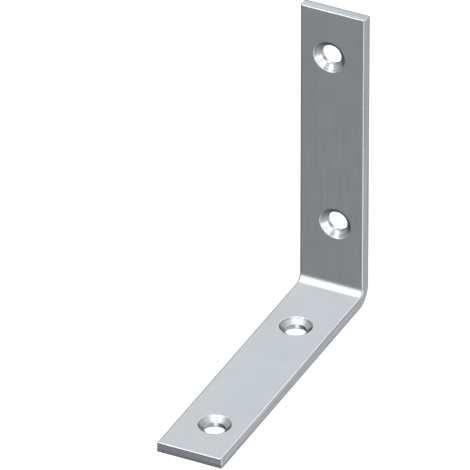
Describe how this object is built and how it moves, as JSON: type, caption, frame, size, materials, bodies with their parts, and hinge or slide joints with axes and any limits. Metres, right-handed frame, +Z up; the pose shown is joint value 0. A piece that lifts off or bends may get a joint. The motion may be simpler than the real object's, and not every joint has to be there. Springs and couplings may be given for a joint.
{
  "type": "angle bracket",
  "caption": "Flat steel strip bent once to a right angle, with countersunk screw holes in both legs for joining two surfaces at a corner.",
  "frame": {"origin": "under the middle of the bracket's box, on the plane of the lower leg's outer face", "axes": "+Z up along the upright, +Y from the lower leg's cut end towards the upright, +X across the strip"},
  "size_m": [0.0212, 0.1, 0.1],
  "materials": {
    "zinc_plated_steel": "satin"
  },
  "bodies": {
    "root": {"angle_bracket": "zinc_plated_steel"}
  },
  "joints": []
}
